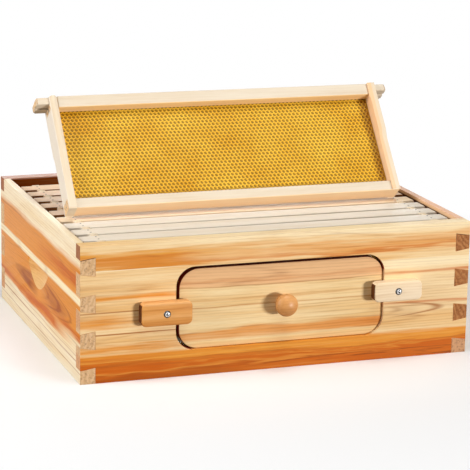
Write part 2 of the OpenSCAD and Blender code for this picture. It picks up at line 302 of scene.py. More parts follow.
class Layer(Enum):
    """Noise in wood: its scale along the fibres, its scale across them, and its detail."""

    DRIFT = (2.2, 7, 2)
    CONTOUR = (1.7, 24, 1)
    FLAME = (6, 45, 2)
    PATCH = (5, 70, 4)
    TEAR = (15, 240, 3)
    STREAK = (12, 380, 3)
    FIBRE = (60, 1800, 2)

    def over(self, along: Value, across: Value, through: Value) -> Value:
        """This noise over a board's coordinates."""
        stretch, fineness, detail = self.value
        return along.shader.noise((along * stretch, across * fineness, through * fineness), detail)


@dataclass(frozen=True)
class GrainSpot:
    """Where a point of a board lies in its wood, in millimetres, and how ragged its stripes are there."""

    along: Value
    level: Value
    ragged: Value


@dataclass(frozen=True)
class Band:
    """A stripe of another colour that runs with the grain, in millimetres: heartwood, a strip or a gum
    line, and in some uses painted light or shade.
    """

    low: float
    high: float
    colour: str
    strength: float = 1.0
    soft: float = 4.0
    start: float | None = None
    end: float | None = None
    fade: float = 60.0
    rough: float = 14.0

    def mask(self, spot: GrainSpot) -> Value:
        """Where the stripe is.

        Args:
            spot: The point of the wood.

        Returns:
            How much of the stripe there is, from 0 to its strength.
        """
        level = spot.level + spot.ragged * self.rough
        rise = level.spread(self.low, self.low + self.soft)
        fall = level.spread(self.high, self.high - self.soft)
        shown = rise * fall * self.strength
        if self.start is not None:
            shown = shown * spot.along.spread(self.start, self.start + self.fade)
        if self.end is not None:
            shown = shown * spot.along.spread(self.end, self.end - self.fade)
        return shown


@dataclass(frozen=True)
class Figure:
    """A cathedral in the grain, in millimetres: growth lines that nest into a round-nosed arch."""

    nose: float
    across: float
    length: float
    height: float
    colour: str
    rings: float = 1.0
    strength: float = 1.0
    core: float = 0.0

    def mask(self, spot: GrainSpot) -> Value:
        """Where the arch is.

        Args:
            spot: The point of the wood.

        Returns:
            How much of its lines and core there is, from 0 to the arch's strength.
        """
        inward = (spot.along - self.nose) / self.length
        sideways = (spot.level - self.across) / self.height
        depth = inward - sideways ** 2 + spot.ragged * 0.2
        lines = (depth * (FULL_TURN * self.rings)).sine() ** LINE_POWER
        shown = lines * (1 - self.core) + depth.spread(0.15, 0.6) * self.core
        return shown * depth.spread(0.0, 0.1) * inward.spread(1.5, 1.0) * self.strength


Stripes = tuple[Band | Figure, ...]


@dataclass(frozen=True)
class WoodFinish:
    """Planed wood, seen along its fibres."""

    name: str
    grain: Grain
    pale: str
    warm: str
    line: str
    bands: Stripes = ()
    turn: float = 0.0
    line_strength: float = 0.5
    ring_pitch: float = 4 * MM
    ring_bend: float = 30.0
    contours: float = 7.0
    wander: float = 10 * MM
    roughness: float = 0.45
    shine: float = 0.12
    bump: float = 0.15 * MM

    def build(self) -> Material:
        """Makes the material: patches, stripes, growth lines and fibres along the grain.

        Returns:
            The material.
        """
        shader = Shader.new(self.name)
        along, across, through = shader.board(self.grain, self.turn)
        level = across + (Layer.DRIFT.over(along, across, through) - 0.5) * self.wander
        board = (along, level, through)
        patch, streak, contour = (n.over(*board) for n in (Layer.PATCH, Layer.STREAK, Layer.CONTOUR))
        flame, tear = (n.over(*board) - 0.5 for n in (Layer.FLAME, Layer.TEAR))
        fibre = Layer.FIBRE.over(*board)
        tone = patch.spread(0.36, 0.66) * 0.7 + streak.spread(0.42, 0.72) * 0.35
        colour = shader.mix(linear(self.pale), linear(self.warm), tone)
        depth = patch.spread(0.25, 0.6) * 0.4 + streak.spread(0.3, 0.6) * 0.2 + 0.4
        spot = GrainSpot(along / MM, level / MM, flame + tear * 0.7)
        for band in self.bands:
            colour = shader.mix(colour, linear(band.colour), band.mask(spot) * depth)
        rings = (level * (FULL_TURN / self.ring_pitch) + contour * self.ring_bend).sine() ** LINE_POWER
        shown = patch.spread(0.3, 0.6) * self.line_strength
        lines = rings * 0.6 + (contour * (FULL_TURN * self.contours)).sine() ** FINE_POWER * 0.6
        lines = lines * streak.spread(0.3, 0.6)
        colour = shader.mix(colour, linear(self.line), lines * shown)
        colour = shader.mix(colour, linear(self.line), fibre.spread(0.5, 0.9) * 0.25)
        return shader.surface(
            Base_Color=colour,
            Roughness=fibre * 0.2 + (self.roughness - 0.1),
            Specular_IOR_Level=self.shine,
            Normal=shader.bump(fibre * 0.6 + lines * 0.4, self.bump, 0.35),
        )


@dataclass(frozen=True)
class EndGrainFinish:
    """Sawn wood, seen on the ends of its fibres: bent growth rings and dark flecks."""

    name: str
    grain: Grain
    pale: str
    warm: str
    fleck: str
    bands: Stripes = ()
    turn: float = 0.0
    ring_pitch: float = 6 * MM
    ring_bend: float = 14.0
    heart: tuple[float, float] = (-30 * MM, 40 * MM)
    flecked: float = 0.5
    roughness: float = 0.6
    shine: float = 0.15
    bump: float = 0.2 * MM

    def build(self) -> Material:
        """Makes the material.

        Returns:
            The material.
        """
        shader = Shader.new(self.name)
        along, across, through = shader.board(self.grain, self.turn)
        wobble = shader.noise((across * 70, through * 70, along * 5), detail=3)
        radius = ((across - self.heart[0]) ** 2 + (through - self.heart[1]) ** 2) ** 0.5
        ring = (radius * (FULL_TURN / self.ring_pitch) + wobble * self.ring_bend).sine()
        flecks = shader.noise((across * 420, through * 420, along * 90), detail=2)
        colour = shader.mix(linear(self.pale), linear(self.warm), ring * 0.6 + wobble * 0.4)
        spot = GrainSpot(along / MM, across / MM, wobble - 0.5)
        for band in self.bands:
            colour = shader.mix(colour, linear(band.colour), band.mask(spot))
        colour = shader.mix(colour, linear(self.fleck), flecks.spread(0.5, 0.7) * self.flecked)
        return shader.surface(
            Base_Color=colour,
            Roughness=flecks * 0.2 + (self.roughness - 0.1),
            Specular_IOR_Level=self.shine,
            Normal=shader.bump(1 - flecks, self.bump, 0.4),
        )


@dataclass(frozen=True)
class CombFinish:
    """Wax-coated foundation: golden on the cell walls, with painted shade in the cells and a painted shadow
    that can fall along one end.
    """

    name: str = "foundation_comb"
    wall: str = "#f2c442"
    tinge: str = "#e2a826"
    # Painted shade in the cells.
    pit: str = "#2e1800"
    # Painted shadow of an end bar along one end of the comb: its colour, where it starts, and over how far
    # it deepens.
    end_bar_shadow: str = "#7a3c06"
    end_bar_shadow_from: float = NOWHERE
    end_bar_shadow_reach: float = 14 * MM

    def build(self) -> Material:
        """Makes the material, with painted shade in the cells from the mesh's own attribute, and a painted
        shadow towards one end.

        Returns:
            The material.
        """
        shader = Shader.new(self.name)
        x, y, z = shader.axes()
        depth = shader.node("ShaderNodeAttribute", {"attribute_name": CELL_SHADE}, output="Fac")
        cloud = shader.noise((x * 14, y * 14, z * 14), detail=3)
        smear = shader.noise((x * 420, y * 420, z * 420))
        colour = shader.mix(linear(self.wall), linear(self.tinge), cloud.spread(0.35, 0.7))
        # Painted shade, darkest at the bottom of each cell.
        colour = shader.mix(colour, linear(self.pit), depth * (smear * 0.4 + 0.6))
        # Painted shadow of the end bar, deepening towards it.
        end_bar_shadow = x.spread(self.end_bar_shadow_from, self.end_bar_shadow_from + self.end_bar_shadow_reach)
        colour = shader.mix(colour, linear(self.end_bar_shadow), end_bar_shadow * 0.6)
        return shader.surface(
            Base_Color=colour,
            Roughness=smear * 0.25 + 0.3,
            Specular_IOR_Level=0.15,
            Normal=shader.bump(smear, 0.1 * MM, 0.3),
        )


@dataclass(frozen=True)
class SteelFinish:
    """Zinc-plated steel of the screws and brads."""

    name: str = "zinc_steel"
    colour: str = "#c9cbcd"
    tarnish: str = "#8d8f92"
    # Painted shade in the recess and round the foot of a head's rim.
    recess_shade: str = "#171310"
    recess_shade_from: float = NOWHERE
    recess_shade_reach: float = 0.3 * MM

    def build(self) -> Material:
        """Makes the material, with painted shade, dark and not metallic, in the recess and round the rim of
        a head that faces forward.

        Returns:
            The material.
        """
        shader = Shader.new(self.name)
        x, y, z = shader.axes()
        bloom = shader.noise((x * 900, y * 900, z * 900), detail=3)
        colour = shader.mix(linear(self.colour), linear(self.tarnish), bloom.spread(0.45, 0.75))
        # Painted shade on what lies deeper than the head's front: its recess and the foot of its rim.
        recess_shade_mask = y.spread(self.recess_shade_from, self.recess_shade_from + self.recess_shade_reach)
        colour = shader.mix(colour, linear(self.recess_shade), recess_shade_mask)
        return shader.surface(Base_Color=colour, Metallic=1 - recess_shade_mask, Roughness=bloom * 0.3 + 0.15)


@dataclass(frozen=True)
class PaneFinish:
    """Clear acrylic with faint handling marks."""

    name: str = "clear_acrylic"

    def build(self) -> Material:
        """Makes the material.

        Returns:
            The material.
        """
        shader = Shader.new(self.name)
        x, y, z = shader.axes()
        smear = shader.noise((x * 22, y * 22, z * 60), detail=4)
        return shader.surface(
            Base_Color=linear("#f4faf8"),
            Roughness=smear.spread(0.45, 0.9) * 0.18 + 0.02,
            Transmission_Weight=1.0,
            IOR=1.49,
        )


def mesh_of(bm: BMesh, name: str) -> bpy.types.Mesh:
    """Makes a mesh out of a bmesh.

    Args:
        bm: The bmesh. It is freed.
        name: The mesh's name.

    Returns:
        The mesh.
    """
    mesh = bpy.data.meshes.new(name)
    bm.to_mesh(mesh)
    bm.free()
    return mesh


def stand(name: str, data: bpy.types.ID) -> Piece:
    """Puts an object in the scene.

    Args:
        name: The object's name.
        data: Its mesh, lamp or camera.

    Returns:
        The object.
    """
    made = bpy.data.objects.new(name, data)
    bpy.context.scene.collection.objects.link(made)
    return made


@dataclass
class Bench:
    """Turns meshes into finished pieces that ride on the part's bodies."""

    merge: float = 1e-6
    flat_angle: float = math.radians(0.4)
    curve_angle: float = math.radians(22)
    ease_angle: float = math.radians(28)
    bodies: dict[str, str] = field(default_factory=dict)

    def __post_init__(self) -> None:
        """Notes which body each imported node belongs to."""
        groups = frame["record"]["behaviour"]["bodies"]
        self.bodies = {node: body for body, nodes in groups.items() for node in nodes}

    def set_down(self, bm: BMesh, name: str, body: str, slot: str, finishes: Iterable[Material]) -> Piece:
        """Makes a piece out of a bmesh.

        Args:
            bm: The mesh, in place. It is freed.
            name: The piece's name.
            body: The body that it rides on.
            slot: Not used.
            finishes: Its materials, in order.

        Returns:
            The piece.
        """
        mesh = mesh_of(bm, name)
        for material in finishes:
            mesh.materials.append(material)
        piece = stand(name, mesh)
        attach(piece, body)
        LOG.info("%s: %d faces on %s", name, len(mesh.polygons), body)
        return piece

    def shade(self, bm: BMesh) -> None:
        """Shades round stretches smooth and leaves plane faces flat.

        Args:
            bm: The mesh.
        """
        for edge in bm.edges:
            edge.smooth = edge.calc_face_angle(math.pi) < self.curve_angle
        for face in bm.faces:
            bends = [e.calc_face_angle(0.0) for e in face.edges]
            face.smooth = any(self.flat_angle < b < self.curve_angle for b in bends)

    def eased(self, node: str, slot: str, ease: float, fibres: Vector, along: Material,
              across: Material) -> Piece:
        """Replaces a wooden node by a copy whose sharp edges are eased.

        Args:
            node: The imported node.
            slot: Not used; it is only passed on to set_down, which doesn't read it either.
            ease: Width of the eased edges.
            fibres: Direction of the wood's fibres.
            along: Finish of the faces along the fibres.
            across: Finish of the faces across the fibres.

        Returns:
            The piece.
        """
        bm = bmesh.new()
        bm.from_mesh(frame["nodes"][node].data)
        bmesh.ops.remove_doubles(bm, verts=bm.verts, dist=self.merge)
        bmesh.ops.dissolve_limit(bm, angle_limit=self.flat_angle, verts=bm.verts, edges=bm.edges)
        sharp = [e for e in bm.edges if e.calc_face_angle(0.0) > self.ease_angle]
        bmesh.ops.bevel(bm, geom=sharp, offset=ease, offset_type="OFFSET", affect="EDGES", segments=2,
                        profile=0.5, material=-1, clamp_overlap=False)
        for face in bm.faces:
            face.material_index = int(abs(face.normal.dot(fibres)) > FULLY)
        self.shade(bm)
        piece = self.set_down(bm, f"{node}_eased", self.bodies[node], slot, (along, across))
        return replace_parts(piece, node)

    @staticmethod
    def stain(piece: Piece, material: Material, wanted: Callable[[Face], bool]) -> None:
        """Gives some faces of a piece another finish.

        Args:
            piece: The piece.
            material: The other finish.
            wanted: Whether a face takes it.
        """
        mesh = piece.data
        mesh.materials.append(material)
        for face in mesh.polygons:
            if wanted(face):
                face.material_index = len(mesh.materials) - 1

    def dress(self, node: str, material: Material) -> None:
        """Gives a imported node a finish.

        Args:
            node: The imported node, which keeps its shape.
            material: Its finish.
        """
        slots = frame["nodes"][node].data.materials
        slots.clear()
        slots.append(material)
        LOG.info("%s: dressed in %s", node, material.name)


def centre(node: str) -> Vector:
    """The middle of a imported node's box."""
    low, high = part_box(node)
    return (low + high) / 2


def edge_turned(face: Face, side: int) -> bool:
    """Whether an edge's face turns to the right or down, for a side of 1, or left or up, for -1."""
    return abs(face.normal.y) < MOSTLY and max(face.normal.x * side, -face.normal.z * side) > SLIGHTLY


@dataclass
class HiveBox:
    """The dovetailed box: two long boards with tails and two end boards with pins."""

    bench: Bench
    shaded: Material
    # Painted shade for the edges of the window opening that lie in shade.
    edges: Material
    ease: float = 0.5 * MM
    slot: str = "box_wood"
    reach: float = 8 * MM
    rebate_h: float = 17 * MM
    rebate_clear: float = 1 * MM
    rebate_from: float = 5 * MM
    hold_near: float = 0.2 * MM
    hold_deep: float = 14 * MM
    hold_half: float = 60 * MM
    hold_low: float = 50 * MM
    hold_high: float = 100 * MM
    front_stripes: Stripes = (
        Band(-40, 37, Tone.ORANGE, 1.4, soft=3, rough=6),
        Band(-40, 26, Tone.RUST, 1.1, soft=8, rough=34),
        Band(-40, 35, Tone.RUST, 0.9, soft=5, end=-130, fade=90, rough=12),
        Band(-40, 12, Tone.UMBER, 0.55, soft=8, end=-20, rough=34),
        Band(15, 19, Tone.AMBER, 0.9, soft=2, start=-150, rough=30),
        Band(21, 25, Tone.UMBER, 0.7, soft=3, rough=26),
        Band(8, 14, "#e49c40", 0.7, soft=3, end=140, rough=18),
        Band(27, 31, "#e8a648", 0.7, soft=2, rough=14),
        Band(6, 9, Tone.UMBER, 1.0, soft=1.5, start=-60, rough=22),
        Band(36, 52, Tone.ORANGE, 0.9, soft=5, end=-90, rough=24),
        Band(60.4, 62.8, Tone.BROWN, 1.0, soft=0.9, end=-110, fade=30, rough=1),
        Band(68, 88, Tone.ORANGE, 0.9, soft=6, end=-165, rough=26),
        Band(86.6, 88.8, Tone.BROWN, 0.8, soft=0.8, end=-120, fade=40, rough=2),
        Band(101, 109, Tone.ORANGE, 1.0, soft=2.5, end=-90, rough=6),
        Band(58, 104, Tone.BUTTER, 0.35, soft=6, start=90),
        Band(70, 74, Tone.RUST, 0.75, soft=1.8, start=110, rough=5),
        Figure(226, 64, -56, 9, Tone.BROWN, strength=0.85),
        Band(108.5, 113.5, Tone.RUST, 0.9, soft=1.8, start=100, rough=5),
        Band(115, 130, Tone.BUTTER, 1.0, soft=3, start=90, rough=4),
        Band(137, 163, "#de9a40", 1.2, soft=4, end=-20, fade=120, rough=22),
        Band(136, 161, Tone.ORANGE, 0.6, soft=6, start=-100, rough=30),
        Band(140, 156, Tone.RUST, 0.5, soft=6, end=-60, rough=34),
        Band(139, 148, Tone.RUST, 0.5, soft=3, start=-140, rough=30),
        Band(162, 200, Tone.BUTTER, 0.9, soft=4, start=-200, fade=120),
        Band(136.6, 138.2, Tone.BUTTER, 1.0, soft=0.5, end=-100, rough=0.0),
    )
    back_stripes: Stripes = (
        Band(30, 52, Tone.ORANGE, 0.8, soft=6),
        Band(92, 230, Tone.RUST, 1.0, soft=8),
        *(Band(118, 230, Tone.UMBER, 1.0, soft=14),) * 2,
        Band(168.4, 230, "#b98a74", 2.0, soft=0.4, rough=0.0),
    )
    end_stripes: Stripes = (
        Band(31, 33, Tone.BROWN, 0.5, soft=0.8, rough=2),
        Band(24, 26.4, Tone.BROWN, 0.8, soft=0.8, rough=2),
        Band(13, 15, Tone.BROWN, 0.7, soft=0.8, rough=2),
        Band(36, 104, Tone.AMBER, 2.0, soft=8, rough=10),
        Band(37, 53, Tone.RUST, 1.1, soft=6, start=-130, rough=22),
        Band(54, 66, Tone.RUST, 1.2, soft=6, end=-60, rough=22),
        Band(30, 58, "#f5e0b8", 1.5, soft=7, end=-70, fade=120, rough=14),
        Figure(146, 68, -92, 13, "#984a10", strength=1.7, core=0.8),
        Figure(-166, 70, 110, 17, "#a04e12", rings=2.0, strength=1.5, core=0.5),
        Band(94, 149, Tone.AMBER, 2.0, soft=14, rough=10),
        Band(110, 137, Tone.RUST, 1.0, soft=9, end=20, fade=130, rough=24),
        Band(97, 108, Tone.BUTTER, 2.0, soft=3.5, rough=3),
        Band(139, 142, Tone.BROWN, 0.6, soft=1.2, start=40, rough=6),
    )
    tail_stripes: Stripes = (
        Band(-40, 36, Tone.RUST, 0.35),
        Band(66, 90, Tone.RUST, 0.3),
        Band(140, 200, Tone.UMBER, 0.8),
    )
    right_rim: Band = Band(166, 230, "#e6b896", 2.0, soft=0.5, rough=0.0)
    right_foot: Band = Band(-40, 40, "#d6a57c", 0.7, soft=3, rough=0.0)

    @staticmethod
    def _long_board(name: str, stripes: Stripes) -> Material:
        """Finish of the front or back board."""
        return WoodFinish(name, Grain.ALONG_X, Tone.CREAM, Tone.HONEY, Tone.BROWN, stripes).build()

    @staticmethod
    def _end_wood(name: str, pale: str, warm: str, *stripes: Band | Figure) -> Material:
        """Finish of an end board, or of a hollow in it."""
        return WoodFinish(name, Grain.ALONG_Y, pale, warm, Tone.BROWN, stripes).build()

    @staticmethod
    def _rebate_shade() -> Band:
        """The shaded foot of the rebate's wall, behind the frames' lugs."""
        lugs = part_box("frame_1_top_bar")[1].z / MM
        return Band(BELOW_ALL, lugs - 1, "#4a2812", 1.6, soft=1.5, rough=1)

    def _in_window(self, face: Face) -> bool:
        """Whether a face of the front board is the left or upper edge of the window opening."""
        low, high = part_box("window_door")
        return edge_turned(face, 1) and all(
            low[i] - self.reach < face.center[i] < high[i] + self.reach for i in (0, 2))

    def _in_rebate(self, face: Face) -> bool:
        """Whether a face of an end board is in the rebate that the frames hang in."""
        low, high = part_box("left_end_board")
        return (abs(face.center.x) < abs(low.x) - self.rebate_from
                and high.z - self.rebate_h < face.center.z < high.z - self.rebate_clear)

    def _on_rest(self, face: Face) -> bool:
        """Whether a face of an end board is the floor of that rebate."""
        return self._in_rebate(face) and face.normal.z > MOSTLY

    def _in_hold(self, face: Face) -> bool:
        """Whether a face of an end board is inside its hand hold."""
        sunk = abs(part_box("left_end_board")[0].x) - abs(face.center.x)
        return (self.hold_near < sunk < self.hold_deep and abs(face.center.y) < self.hold_half
                and self.hold_low < face.center.z < self.hold_high)

    def build(self) -> None:
        """Eases and dresses the four boards."""
        tails = EndGrainFinish("tail_ends", Grain.ALONG_X, "#e2c096", "#cb9f70", "#8a5a34",
                               self.tail_stripes).build()
        left_pins = EndGrainFinish("left_pin_ends", Grain.ALONG_Y, "#dfbc92", "#caa070", "#80542e").build()
        right_pins = EndGrainFinish("right_pin_ends", Grain.ALONG_Y, "#bb804a", "#8f5226", "#52280e",
                                    (self.right_foot,)).build()
        front = self._long_board("front_board_wood", self.front_stripes)
        back = self._long_board("back_board_wood", self.back_stripes)
        pine = ("#f5e6c8", "#ecd2a4", *self.end_stripes)
        left = self._end_wood("left_end_board_wood", *pine)
        right = self._end_wood("right_end_board_wood", *pine, self.right_rim)
        wall = self._end_wood("rebate_wood", "#ecc8a0", "#e0b486", self._rebate_shade())
        hold = self._end_wood("hand_hold_wood", "#e6b878", "#d89c56")
        along_x = Grain.ALONG_X.direction()
        along_y = Grain.ALONG_Y.direction()
        board = self.bench.eased("front_board", self.slot, self.ease, along_x, front, tails)
        # Painted shade on the window opening's left and upper edges.
        self.bench.stain(board, self.edges, self._in_window)
        self.bench.eased("back_board", self.slot, self.ease, along_x, back, tails)
        for side, wood, pins in (("left", left, left_pins), ("right", right, right_pins)):
            board = self.bench.eased(f"{side}_end_board", self.slot, self.ease, along_y, wood, pins)
            self.bench.stain(board, wall, self._in_rebate)
            self.bench.stain(board, self.shaded, self._on_rest)
            self.bench.stain(board, hold, self._in_hold)


@dataclass
class WindowDoor:
    """The door in the window, its knob, the turn buttons, the pane and their screws."""

    bench: Bench
    steel: Material
    # Painted shade for the door's edges that lie in shade, in the gap round it.
    edges: Material
    door_ease: float = 0.9 * MM
    button_ease: float = 0.5 * MM
    knob_ease: float = 0.3 * MM
    # How far behind the front of a button screw's head its painted shade begins.
    recess: float = 0.7 * MM
    door_stripes: Stripes = (
        Band(30, 42, "#e4b576", 0.7, soft=3, rough=8),
        Band(42, 58, "#dd944a", 1.0, soft=3, rough=12),
        Band(46, 55, "#cf7c30", 0.8, soft=3, start=60, rough=12),
        Band(84, 86.5, "#b97a38", 0.8, soft=1, rough=3),
        Band(93, 97, "#cf9a58", 0.8, soft=2, rough=10),
        Band(109, 150, "#e8b986", 1.6, soft=1.5, rough=8),
        Band(113, 121, "#d39660", 0.7, soft=3, rough=16),
        Band(108, 110, "#b8783c", 0.7, soft=0.8, rough=8),
    )
    button_stripes: Stripes = (
        Band(69, 74, "#bc7230", 0.7, soft=2, rough=12),
        Band(78, 84, "#e9b274", 0.8, soft=3, rough=16),
        Band(87, 91, "#ba702c", 0.7, soft=2, rough=14),
        Band(94, 99, "#e9b67c", 0.7, soft=2, rough=8),
    )

    def build(self) -> None:
        """Eases and dresses the door and what is on it."""
        along = Grain.ALONG_X.direction()
        door = WoodFinish("door_wood", Grain.ALONG_X, "#f0d6a4", "#e2b879", "#8f5526",
                          self.door_stripes).build()
        ends = EndGrainFinish("door_ends", Grain.ALONG_X, "#c9985f", "#a97440", "#6d4323").build()
        tan = WoodFinish("left_button_wood", Grain.ALONG_X, "#dd9e58", "#c98238", "#92541e",
                         self.button_stripes).build()
        fair = WoodFinish("right_button_wood", Grain.ALONG_X, "#f4e0c2", "#ead0aa", "#c89c6a").build()
        # The buttons' end grain: a darker tone of its own, made darker still as painted shade on the ends.
        end_grain_and_shade = EndGrainFinish("button_ends", Grain.ALONG_X, "#643614", "#4c260c", "#2c1406").build()
        knob = WoodFinish("knob_wood", Grain.ALONG_X, "#d49a5c", "#c48444", "#8f5220", line_strength=0.3,
                          roughness=0.42, shine=0.4).build()
        leaf = self.bench.eased("window_door", "door_wood", self.door_ease, along, door, ends)
        # Painted shade on the door's left and upper edges, in the gap.
        self.bench.stain(leaf, self.edges, lambda face: edge_turned(face, -1))
        for side, wood in (("left", tan), ("right", fair)):
            self.bench.eased(f"{side}_turn_button", "button_wood", self.button_ease, along, wood, end_grain_and_shade)
        self.bench.eased("door_knob", "knob_wood", self.knob_ease, Grain.ALONG_Y.direction(), knob, knob)
        self.bench.dress("window_pane", PaneFinish().build())
        for node in ("pane_screws", "knob_screw"):
            self.bench.dress(node, self.steel)
        # Painted shade in the button screws' recesses and round their rims.
        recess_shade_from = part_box("left_button_screw")[0].y + self.recess
        recess_shaded_steel = SteelFinish("button_screw_steel", "#f4f5f6", "#c4c6c8", recess_shade_from=recess_shade_from).build()
        for node in ("left_button_screw", "right_button_screw"):
            self.bench.dress(node, recess_shaded_steel)


@dataclass
class Foundation:
    """A sheet of embossed comb foundation: six-sided cells in rows on both faces."""

    cells_along: float = 78.5
    wall: float = 0.8 * MM
    slope: float = 0.5 * MM
    pit: float = 0.9 * MM
    heart: float = 0.3 * MM
    # Painted shade on the cells' slopes, and how much darker it gets on one diagonal than on the other.
    slope_shade: float = 0.6
    slope_shade_swing: float = 0.9
    weld: float = 0.05 * MM
    seam: float = 0.02 * MM
    trim: float = 1e-7

    def _size(self) -> Vector:
        """Length, thickness and height of a sheet that hangs upright."""
        low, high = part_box("frame_1_foundation")
        return high - low

    def _cells(self) -> BMesh:
        """A flat field of six-sided cells, trimmed to the sheet.

        Returns:
            The field, in the XY plane around the origin.
        """
        size = self._size()
        cell = size.x / self.cells_along
        rise = cell * math.sqrt(3) / 2
        rows = math.ceil(size.z / rise) + 2
        columns = math.ceil(self.cells_along) + 2
        bm = bmesh.new()
        first = Vector((-columns * cell / 2, -rows * rise / 2, 0))
        bmesh.ops.create_circle(bm, cap_ends=True, segments=6, radius=cell / math.sqrt(3),
                                matrix=Matrix.Translation(first))
        first_cell = list(bm.faces)
        for i in range(1, columns):
            self._repeat(bm, first_cell, Vector((i * cell, 0, 0)))
        one_row = list(bm.faces)
        for j in range(1, rows):
            self._repeat(bm, one_row, Vector((cell / 2 * (j % 2), j * rise, 0)))
        bmesh.ops.remove_doubles(bm, verts=bm.verts, dist=self.weld)
        for edge in (Vector((size.x / 2, 0, 0)), Vector((0, size.z / 2, 0))):
            for side in (-1, 1):
                bmesh.ops.bisect_plane(bm, geom=[*bm.verts, *bm.edges, *bm.faces], dist=self.trim,
                                       plane_co=edge * side, plane_no=edge * side, clear_outer=True)
        return bm

    @staticmethod
    def _repeat(bm: BMesh, faces: list[bmesh.types.BMFace], step: Vector) -> None:
        """Copies some faces.

        Args:
            bm: The mesh.
            faces: The faces.
            step: How far the copy stands from them.
        """
        edges = {e for f in faces for e in f.edges}
        verts = {v for f in faces for v in f.verts}
        made = bmesh.ops.duplicate(bm, geom=[*verts, *edges, *faces])["geom"]
        bmesh.ops.translate(bm, vec=step, verts=[g for g in made if isinstance(g, bmesh.types.BMVert)])

    def build(self, steps: bool) -> bpy.types.Mesh:
        """Makes a sheet that hangs upright around the origin.

        Args:
            steps: Whether the cells have a flat floor of their own under the slope, with painted shade on
                that slope that is darker on one diagonal pair of corners.

        Returns:
            The sheet.
        """
        bm = self._cells()
        thickness = self._size().y
        depth = bm.verts.layers.float.new(CELL_SHADE)
        cells = list(bm.faces)
        bmesh.ops.recalc_face_normals(bm, faces=cells)
        if cells[0].normal.z < 0:
            bmesh.ops.reverse_faces(bm, faces=cells)
        rim = [e for e in bm.edges if e.is_boundary]
        bmesh.ops.inset_individual(bm, faces=cells, thickness=self.wall / 2, use_even_offset=True)
        if steps:
            bmesh.ops.inset_individual(bm, faces=cells, thickness=self.slope, depth=-self.pit,
                                       use_even_offset=True)
            for cell in cells:
                middle = cell.calc_center_median()
                for vert in cell.verts:
                    arm = (vert.co - middle).normalized()
                    # Painted shade on the slope: darker on one diagonal pair of its corners, as if lit from
                    # one side.
                    vert[depth] = self.slope_shade - self.slope_shade_swing * arm.x * arm.y
        deep = self.heart if steps else self.pit
        made = bmesh.ops.poke(bm, faces=cells, offset=-deep)
        # Painted shade at full strength at each cell's bottom point.
        for vert in made["verts"]:
            vert[depth] = 1.0
        wall = bmesh.ops.extrude_edge_only(bm, edges=rim)["geom"]
        inner = [g for g in wall if isinstance(g, bmesh.types.BMVert)]
        bmesh.ops.translate(bm, vec=(0, 0, -thickness / 2), verts=inner)
        bmesh.ops.translate(bm, vec=(0, 0, thickness / 2), verts=bm.verts)
        bmesh.ops.rotate(bm, matrix=Matrix.Rotation(math.radians(90), 3, "X"), verts=bm.verts)
        bmesh.ops.mirror(bm, geom=[*bm.verts, *bm.edges, *bm.faces], axis="Y", merge_dist=self.seam)
        bmesh.ops.recalc_face_normals(bm, faces=bm.faces)
        return mesh_of(bm, "foundation_sheet")


@dataclass(frozen=True)
class FrameFinishes:
    """Finishes of one frame's pieces."""

    top: Material
    bottom: Material
    upright: Material
    bar_ends: Material
    upright_ends: Material
    comb: Material
    steel: Material

    @classmethod
    def plain(cls, wood: str, tones: tuple[str, str, str], comb: Material,
              steel: Material) -> "FrameFinishes":
        """Finishes of frames that hang in the box.

        Args:
            wood: The wood's name.
            tones: Its pale, warm and line colours.
            comb: Finish of the foundation.
            steel: Finish of the brads.

        Returns:
            The finishes.
        """
        parts = (("bar", Grain.ALONG_X), ("end_bar", Grain.ALONG_Z))
        bar, upright = (
            WoodFinish(f"{wood}_{part}_wood", grain, *tones, line_strength=FAINT_LINES).build()
            for part, grain in parts
        )
        bar_ends = EndGrainFinish(f"{wood}_bar_ends", Grain.ALONG_X, "#e8cba4", "#d6ad7c", "#9c6b3d")
        top_ends = EndGrainFinish(f"{wood}_end_bar_ends", Grain.ALONG_Z, "#efe0c6", "#e4cda8", "#bd9868")
        return cls(bar, bar, upright, bar_ends.build(), top_ends.build(), comb, steel)


